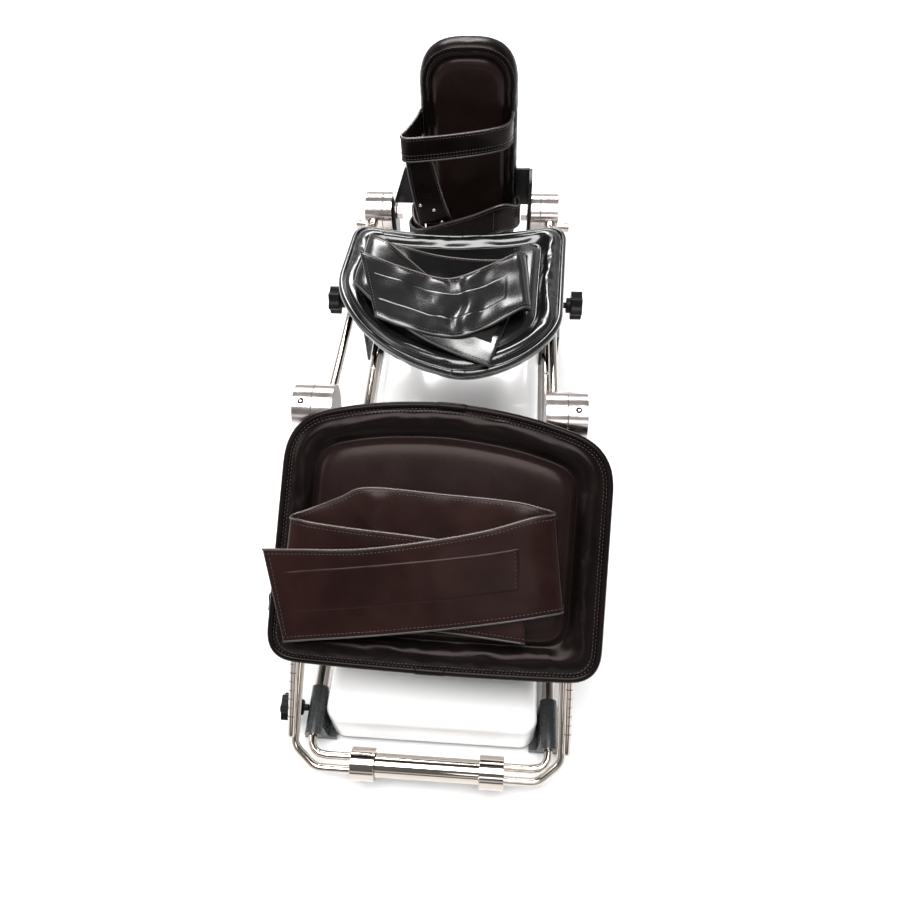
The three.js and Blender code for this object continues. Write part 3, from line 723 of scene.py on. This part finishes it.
class Strap:
    """A padded leather strap through ribs; a rib is its two edge points, (x, u, n), near edge first."""

    rim_width = 11.0
    edge_half = 0.9

    def __init__(self, link, ribs, count, thickness=3.6, waves=0.8, seed=1.0, creases=()):
        """Creases are (row, depth, reach in rows), across the strap."""
        edges = spline(np.array(ribs, float), count)
        across = unit(edges[:, 1] - edges[:, 0])
        along = unit(np.gradient(edges.mean(1), axis=0))
        self.link, self.edges, self.thickness, self.count = link, edges, thickness, count
        self.normal = unit(np.cross(along, across))
        self.width = np.linalg.norm(edges[:, 1] - edges[:, 0], axis=1)
        self.waves, self.seed, self.creases = waves, seed, creases

    def at(self, row, inset, side=1.0, raise_by=0.0):
        """A point of the strap's face: row may be fractional, inset counts from the near edge."""
        i = min(int(row), self.count - 2)
        f = row - i
        near = self.edges[i, 0] * (1 - f) + self.edges[i + 1, 0] * f
        far = self.edges[i, 1] * (1 - f) + self.edges[i + 1, 1] * f
        width = np.linalg.norm(far - near)
        normal = unit(self.normal[i] * (1 - f) + self.normal[i + 1] * f)
        rim = min(max(0.0, min(inset, width - inset)), self.rim_width)
        swell = (self.thickness / 2 - self.edge_half) * math.sin(rim / self.rim_width * math.pi / 2)
        half = self.edge_half + swell
        spot = near + (far - near) * inset / width
        wave = self.waves * noise.noise(Vector((spot[0] / 26.0, spot[1] / 30.0, self.seed + row / 40.0)))
        for place, depth, reach in self.creases:
            bend = 2.0 * noise.noise(Vector((inset / 30.0, place, 5)))
            wave += depth * math.exp(-((row - place - bend) / reach) ** 2)
        return spot + normal * (side * half + raise_by + wave * min(1.0, rim / 8.0))

    def build(self, name, material):
        across = 14
        shares = (1 - np.cos(np.linspace(0, math.pi, across))) / 2
        rings = []
        for i in range(self.count):
            width = self.width[i]
            top = [self.at(i, s * width, 1.0) for s in shares]
            under = [self.at(i, s * width, -1.0) for s in shares[::-1]]
            rings.append(top + under)
        size = 2 * across
        points = np.array(rings).reshape(-1, 3)
        faces = [f[::-1] for f in grid_faces(self.count, size, True)]
        for ring, flip in ((0, False), (self.count - 1, True)):
            for k in range(across - 1):
                a, b = ring * size + k, ring * size + k + 1
                c, d = ring * size + size - 2 - k, ring * size + size - 1 - k
                faces.append((a, b, c, d) if not flip else (d, c, b, a))
        return new_piece(name, self.link.at(points), faces, material)

    def stitches(self, lines, side):
        """Stitch rows; a line is a list of (row, inset) points."""
        rows = []
        for line in lines:
            line = np.array(line, float)
            rows_long, wide = np.abs(np.diff(line, axis=0)).sum(0)
            steps = max(2, int(rows_long * 1.2 + wide / 3))
            run = np.linspace(0, len(line) - 1, steps)
            rows_at = np.interp(run, range(len(line)), line[:, 0])
            insets = np.interp(run, range(len(line)), line[:, 1])
            points = np.array([self.at(r, i, side) for r, i in zip(rows_at, insets)])
            lifted = np.array([self.at(r, i, side, side) for r, i in zip(rows_at, insets)])
            world, above = self.link.at(points), self.link.at(lifted)
            rows.append(stitch_row(world, unit(above - world), STITCH_PITCH * MM, STRAP_STITCH_LENGTH * MM,
                                   THREAD_THICKNESS * MM))
        return join_rows(rows)

    def edge_line(self, inset):
        """A stitch line along the near edge, or along the far edge where inset is negative."""
        return [(r, inset if inset >= 0 else self.width[r] + inset) for r in range(self.count)]


def strap_edges(name, strap, body):
    """The folded edges of a strap: thin rolls along both sides, the far one in a lighter leather as a painted
    highlight.
    """
    for side, column, look in (("near", 0, THREAD), ("far", 1, FAR_EDGE_HIGHLIGHT_LEATHER)):
        path = strap.link.at(strap.edges[:, column])
        above = strap.link.at(strap.edges[:, column] + strap.normal)
        roll = sweep(f"{name}_{side}_edge", path, above - path, 1.3 * MM, 1.9 * MM, look,
                     closed=False, sides=8)
        attach(roll, body)


def add_strap(name, strap, body, material, lines, sides=(1.0,), replaces=()):
    """A strap with its edges and stitch lines; it is stitched over (1) and under (-1)."""
    piece = strap.build(name, material)
    strap_edges(name, strap, body)
    subdivide(piece)
    attach(piece, body)
    if replaces:
        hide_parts(*replaces)
    rows = [strap.stitches(lines, side) for side in sides]
    threads = new_piece(name + "_stitching", *join_rows(rows), THREAD)
    attach(threads, body)


def sewn_strip(name, strap, body, material, rows, insets, height=0.9):
    """A strip sewn flat on a strap's under face, which a folded flap shows on top, as a low relief."""
    under, border, sink = -1.0, 2.0, 0.3
    first, last = rows
    low, high = insets
    lengths = [first, first + 0.4, first + 1.2, *np.arange(first + 2, last - 1), last - 1.2, last]
    widths = [low, low + 0.6, low + 2, *np.linspace(low + 4, high - 4, 10), high - 2, high - 0.6, high]
    points = []
    for r in lengths:
        for i in widths:
            inside = min((r - first) * 1.6, (last - r) * 1.6, i - low, high - i)
            rise = height * min(1.0, math.sqrt(max(0.0, inside) / border)) - sink
            points.append(strap.at(r, i, under, under * rise))
    faces = grid_faces(len(lengths), len(widths), False)
    strip = new_piece(name, strap.link.at(np.array(points)), faces, material)
    attach(strip, body)


def thigh_belt():
    """One strap: flap end, left fold, back over the cushion, right fold, then the long flap on top."""
    ribs = [
        ((103, 176, 80), (104, 268, 84)), ((50, 181, 81), (50, 276, 86)),
        ((-20, 187, 82), (-20, 283, 89)), ((-95, 193, 83), (-95, 289, 90)),
        ((-140, 198, 84), (-135, 294, 91)), ((-156, 202, 79), (-149, 297, 84)),
        ((-140, 208, 73), (-133, 304, 74)), ((-94, 222, 70), (-96, 320, 71)),
        ((-72, 230, 69.5), (-78, 329, 70.5)), ((15, 230, 69.5), (15, 326, 70)),
        ((88, 226, 69.5), (92, 321, 70)), ((120, 218, 72), (112, 317, 73)),
        ((142, 212, 81), (130, 312, 83)), ((118, 207, 90), (108, 308, 93)),
        ((50, 194, 92), (50, 290, 97)), ((-55, 178, 91), (-66, 268, 97)),
        ((-120, 170, 90), (-135, 264, 95)), ((-150, 166, 89), (-175, 262, 93)),
    ]
    strap = Strap(thigh, ribs, count=150, creases=((61.5, 2.0, 1.4), (90, 1.8, 1.6)))
    lines = [strap.edge_line(4.5), strap.edge_line(-4.5)]
    patch, low, high = 104, 30, 74
    lines += [[(patch + 1, low + 2), (patch + 1, high - 2)], [(148, 6), (148, 90)]]
    add_strap("thigh_belt_strap", strap, "thigh", BELT_LEATHER, lines, (1.0, -1.0), ("thigh_belt",))
    sewn_strip("thigh_belt_strip", strap, "thigh", BELT_LEATHER, (patch, 146.5), (low, high))


def calf_belt():
    """One strap: flap end, left fold, back over the cushion, right fold, then the top flap."""
    ribs = [
        ((55, 40, 38), (76, 132, 37)), ((8, 62, 39), (32, 152, 40)),
        ((-30, 84, 42), (-8, 172, 46)), ((-75, 118, 51), (-50, 206, 59)),
        ((-104, 146, 60), (-85, 232, 72)), ((-116, 166, 57), (-106, 248, 70)),
        ((-112, 176, 50), (-106, 258, 58)), ((-80, 168, 44), (-78, 262, 46)),
        ((-20, 150, 40), (-20, 246, 41)), ((40, 142, 40), (40, 238, 41)),
        ((82, 134, 45), (80, 232, 48)), ((99, 124, 52), (94, 222, 58)),
        ((92, 119, 60), (86, 214, 70)), ((50, 99, 46), (54, 196, 66)),
        ((8, 84, 42), (2, 178, 55)), ((-45, 94, 46), (-48, 184, 62)),
        ((-84, 108, 51), (-112, 196, 80)),
    ]
    creases = ((108, 1.6, 1.6), (112, -1.8, 1.8), (115.5, 2.2, 1.5), (119, -1.6, 1.6), (122.5, 1.4, 1.4),
               (129, -1.0, 2.5))
    strap = Strap(calf, ribs, count=140, waves=1.8, seed=4.0, creases=creases)
    lines = [strap.edge_line(4.5), strap.edge_line(-4.5)]
    patch, low, high = 101, 27, 69
    lines += [[(patch + 1, low + 2), (patch + 1, high - 2)], [(patch + 2, low + 2), (patch + 2, high - 2)],
              [(138, 5), (138, 88)]]
    add_strap("calf_belt_strap", strap, "calf_slide", CALF_LEATHER, lines, (1.0, -1.0), ("calf_belt",))
    sewn_strip("calf_belt_strip", strap, "calf_slide", CALF_LEATHER, (patch, 137), (low, high))
    sewn_strip("calf_belt_velcro", strap, "calf_slide", VELCRO, (1.5, 13), (34, 90), 0.7)


def fold_flat(piece):
    """Gives the piece its own copy of its mesh; the boot's straps are not flattened towards the sole."""
    sole_face = foot.at((0.0, 100.0, 17.0))
    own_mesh(piece)


def fold_strap(name):
    for part in ("", "_near_edge", "_far_edge", "_stitching"):
        fold_flat(bpy.data.objects[name + part])


def boot_sole():
    outline = Outline([(-54, -42), (80, -36), (74, 256), (-50, 256)], [12, 12, 54, 54], least=20)
    base = -12.4
    section = [(24, 0, "floor"), (6, 0, "floor"), (2, 1.2, "seam"), (0.3, 6), (0, 13), (0.6, 20),
               (2.5, 25, "seam"), (5, 27), (7.5, 27.5), (9.5, 26, "seam"), (12, 27.5), (14.5, 28),
               (17, 26.0, "seam"), (18.5, 27.2, "panel"), (20.5, 29.6, "panel"), (23.5, 31, "panel"),
               (28, 31.6, "panel")]
    pad = Pad(foot, outline, base, section, inner_rings=7)
    sole = pad.build("boot_sole_pad", THIGH_LEATHER, PANEL_LEATHER)
    fill_with_air(sole, pad.fixed(), 1.2, 0.008)
    sew_round("boot_sole_stitching", sole, foot, outline, (4.0, 9.5), 60, "foot", pitch=3.6)
    subdivide(sole)
    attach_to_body(sole, "foot")
    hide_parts("foot_boot")


def boot_band():
    """The band over the instep; its line is (x, n) from side to side."""
    low, high = 136, 169
    line = [(-50, 10), (-55, 32), (-64, 58), (-70, 73), (-64, 77), (-30, 73), (4, 66), (40, 56), (62, 45),
            (69, 32), (70, 12)]
    ribs = [((x, low, n), (x, high, n)) for x, n in line]
    band = Strap(foot, ribs, count=70, thickness=3.2, waves=0.5, seed=9.0)
    lines = [band.edge_line(4), band.edge_line(9), band.edge_line(-3)]
    add_strap("boot_band", band, "foot", THIGH_LEATHER, lines)


def boot_slanting_strap():
    ribs = [((-66, 141, 74), (-34, 140, 69)), ((-64, 110, 70), (-28, 108, 66)),
            ((-60, 66, 64), (-20, 66, 60)), ((-55, 24, 58), (-9, 26, 56))]
    strap = Strap(foot, ribs, count=36, thickness=2.6, waves=0.4, seed=11.0)
    add_strap("boot_slanting_strap", strap, "foot", THIGH_LEATHER, [strap.edge_line(3), strap.edge_line(-3)])


def boot_ankle_strap():
    """Its line is (x, near u, far u, n) from side to side."""
    line = [(-66, -34, 12, 16), (-72, -34, 12, 40), (-58, -30, 16, 60), (-20, -14, 30, 64), (20, 0, 44, 64),
            (60, 16, 60, 61), (80, 14, 50, 48), (84, 8, 40, 24), (80, 4, 36, 6)]
    ribs = [((x, near, n), (x, far, n)) for x, near, far, n in line]
    strap = Strap(foot, ribs, count=70, thickness=3.2, waves=0.8, seed=13.0)
    lines = [strap.edge_line(4), strap.edge_line(-4), [(46, 8), (46, 38)]]
    add_strap("boot_ankle_strap", strap, "foot", THIGH_LEATHER, lines)


def boot_heel_cup():
    """Its line is (x, far u, n) from side to side; the near edge is level and drawn in a little."""
    near_u, narrower, lower = -43, 0.94, 0.96
    line = [(-58, 30, 4), (-67, 34, 28), (-62, 22, 50), (-30, 8, 58), (10, 6, 60), (50, 12, 57), (74, 26, 44),
            (78, 34, 22), (76, 34, 4)]
    ribs = [((x * narrower, near_u, n * lower), (x, u, n)) for x, u, n in line]
    cup = Strap(foot, ribs, count=60, thickness=4.0, waves=0.8, seed=17.0)
    add_strap("boot_heel_cup", cup, "foot", THIGH_LEATHER, [cup.edge_line(-4)])


def boot():
    """The CAD model's one boot solid, as a sole pad with its straps and a heel cup."""
    boot_sole()
    boot_band()
    boot_slanting_strap()
    boot_ankle_strap()
    fold_strap("boot_band")
    fold_strap("boot_slanting_strap")
    boot_heel_cup()


# ---- small hard details

def turned(profile, centre, axis, sides):
    """A turned shape: (radius, height) pairs round an axis, in metres: (points, faces)."""
    axis = unit(np.asarray(axis, float))
    guide = np.array((1.0, 0, 0)) if abs(axis[0]) < 0.9 else np.array((0, 1.0, 0))
    first = unit(np.cross(axis, guide))
    second = np.cross(axis, first)
    points = []
    for radius, height in profile:
        for k in range(sides):
            turn = 2 * math.pi * k / sides
            points.append(np.asarray(centre) + axis * height * MM
                          + radius * MM * (first * math.cos(turn) + second * math.sin(turn)))
    faces = grid_faces(len(profile), sides, True)
    last = (len(profile) - 1) * sides
    faces.append(tuple(range(sides))[::-1])
    faces.append(tuple(last + k for k in range(sides)))
    return points, faces


def rod_mark(sign, number):
    """One mark round the outer half of a rod; every fifth is longer and thicker."""
    rod_radius, rod_x, rod_rise = 4.75, 156.5, 12
    first_mark, pitch, above_rod, steps = 62, 10, 0.05, 10
    long_mark = number % 5 == 0
    half = 0.42 if long_mark else 0.3
    reach = math.radians(85 if long_mark else 52)
    middle = math.radians(50)
    radius = rod_radius + above_rod
    points = []
    for along in (-half, half):
        for turn in np.linspace(middle - reach, middle + reach, steps + 1):
            points.append((sign * (rod_x + radius * math.cos(turn)), first_mark + pitch * number + along,
                           rod_rise + radius * math.sin(turn)))
    faces = [(k, k + 1, k + steps + 2, k + steps + 1) for k in range(steps)]
    return points, [f if sign > 0 else f[::-1] for f in faces]


def graduations():
    """Marks every 10 mm on the two rods that set the thigh length."""
    mark_count = 35
    for sign, side in ((-1, "left"), (1, "right")):
        points, faces = join_rows([rod_mark(sign, number) for number in range(mark_count)])
        marks = new_piece(f"rod_marks_{side}", thigh.at(np.array(points)), faces, MARK_INK)
        attach(marks, "thigh_slide")


def rail_screws():
    """Socket screws that hold each rail to the housing, two a side."""
    profile = [(3.4, -0.6), (3.4, 0.9), (3.0, 1.3), (1.7, 1.3), (1.6, 0.2)]
    places, sunk = (0.149, -0.18), 0.4 * MM
    for side in ("left", "right"):
        low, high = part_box("rail_" + side)
        middle = (low + high) / 2
        rows = [turned(profile, (middle.x, along, high.z - sunk), (0, 0, 1), 18) for along in places]
        screws = new_piece("rail_screws_" + side, *join_rows(rows), STEEL)
        attach(screws, "base")


def disc_screws():
    """A grub screw in the top of each outer knee disc, leaning towards the hip end."""
    lean = math.radians(22)
    up = np.array((0, -math.sin(lean), math.cos(lean)))
    disc_radius, disc_middle, sunk = 29.0, 153.5, 0.9
    rim_profile = [(4.6, 0), (4.6, 1.0), (4.2, 1.2), (3.5, 1.15), (3.4, 0.9)]
    head_profile = [(3.45, 0.2), (3.4, 0.95), (1.6, 0.98), (1.5, 0.3)]
    for side, sign in (("left", -1), ("right", 1)):
        top = calf.origin + up * (disc_radius - sunk) * MM + np.array((sign * disc_middle * MM, 0, 0))
        for name, profile, sides, material in (("rim", rim_profile, 22, SATIN_CHROME),
                                               ("head", head_profile, 18, BLACK_STEEL)):
            part = new_piece(f"knee_grub_{name}_{side}", *turned(profile, top, up, sides), material)
            attach(part, "thigh_slide")


def boot_rivets():
    profile = [(2.4, -0.8), (2.4, 0.2), (1.9, 0.8), (0.9, 1.1)]
    spots = [(-52, 60, 65), (-34, 50, 61.5), (-24, 28, 59)]
    rows = [turned(profile, foot.at(np.array(spot, float)), foot.normal, 16) for spot in spots]
    rivets = new_piece("boot_rivets", *join_rows(rows), STEEL)
    attach(rivets, "foot")
    fold_flat(rivets)


graduations()
rail_screws()
disc_screws()
boot_rivets()
thigh_cushion()
calf_cushion()
thigh_belt()
calf_belt()
boot()


# ---- floor, light, camera

def floor():
    size = 8.0
    s = Surface("floor_paint", Specular_IOR_Level=0.25)
    s.set("Base Color", s.colours(s.noise(1.2, 3), (0.80, 0.80, 0.80), (0.83, 0.83, 0.83)))
    s.set("Roughness", s.between(s.noise(8, 4), 0.55, 0.7))
    corners = [(-size, -size, 0), (size, -size, 0), (size, size, 0), (-size, size, 0)]
    new_piece("floor", corners, [(0, 1, 2, 3)], s.material, smooth=False)


def softbox(name, place, target, width, height, power):
    light = bpy.data.lights.new(name, "AREA")
    light.shape, light.size, light.size_y, light.energy = "RECTANGLE", width, height, power
    lamp = bpy.data.objects.new(name, light)
    bpy.context.scene.collection.objects.link(lamp)
    lamp.location = place
    lamp.rotation_euler = (Vector(target) - Vector(place)).to_track_quat("-Z", "Y").to_euler()


def surroundings():
    """What surfaces reflect: level bands by sine of height. The camera sees a plain one."""
    bands = ((0.03, 0.6), (0.07, 0.10), (0.16, 0.10), (0.20, 0.85), (0.36, 0.85), (0.42, 0.16),
             (0.60, 0.18))
    zenith, plain = (0.22, 0.22, 0.225, 1), (0.93, 0.93, 0.93, 1)
    coolness = 1.02
    world = bpy.data.worlds.new("studio")
    bpy.context.scene.world = world
    world.use_nodes = True
    tree = world.node_tree
    place = tree.nodes.new("ShaderNodeTexCoord")
    height = tree.nodes.new("ShaderNodeSeparateXYZ")
    layers = tree.nodes.new("ShaderNodeValToRGB")
    path = tree.nodes.new("ShaderNodeLightPath")
    seen = tree.nodes.new("ShaderNodeMixRGB")
    seen.inputs["Color2"].default_value = plain
    tree.links.new(place.outputs["Generated"], height.inputs[0])
    tree.links.new(height.outputs["Z"], layers.inputs["Fac"])
    tree.links.new(path.outputs["Is Camera Ray"], seen.inputs["Fac"])
    tree.links.new(layers.outputs["Color"], seen.inputs["Color1"])
    tree.links.new(seen.outputs["Color"], tree.nodes["Background"].inputs["Color"])
    ramp = layers.color_ramp
    (lowest, floor_glow), *others = bands
    ramp.elements[0].position, ramp.elements[1].position = lowest, 1.0
    ramp.elements[0].color, ramp.elements[1].color = (floor_glow, floor_glow, floor_glow, 1), zenith
    for sine, value in others:
        ramp.elements.new(sine).color = (value, value, value * coolness, 1)


def studio():
    surroundings()
    softbox("overhead", (0.0, -0.5, 3.0), (0, 0, 0.1), 2.4, 1.8, 165)
    softbox("window", (-0.4, 2.5, 2.1), (0, 0.1, 0.3), 1.7, 0.6, 62)
    softbox("side", (-2.4, -0.3, 1.7), (0, 0, 0.2), 1.2, 1.2, 16)
    softbox("front", (0.5, -2.4, 1.9), (0, -0.3, 0.15), 1.2, 0.5, 5)


def camera():
    """Perspective camera above the hip end, looking down along the machine."""
    yaw, pitch, roll = -0.1327, 0.9276, -0.0683
    forward = Vector((math.sin(yaw) * math.cos(pitch), math.cos(yaw) * math.cos(pitch), -math.sin(pitch)))
    level = Vector((math.cos(yaw), -math.sin(yaw), 0))
    up = level.cross(forward)
    right = math.cos(roll) * level + math.sin(roll) * up
    top = math.cos(roll) * up - math.sin(roll) * level
    data = bpy.data.cameras.new("camera")
    data.lens, data.sensor_width, data.shift_x = 32.0, 36.0, 0.015
    data.clip_start, data.clip_end = 0.05, 50
    viewer = bpy.data.objects.new("camera", data)
    bpy.context.scene.collection.objects.link(viewer)
    place = Matrix((right, top, -forward)).transposed().to_4x4()
    place.translation = Vector((0.0700, -0.7160, 1.0079))
    viewer.matrix_world = place
    bpy.context.scene.camera = viewer


floor()
studio()
camera()
bpy.context.scene.view_settings.view_transform = "Standard"
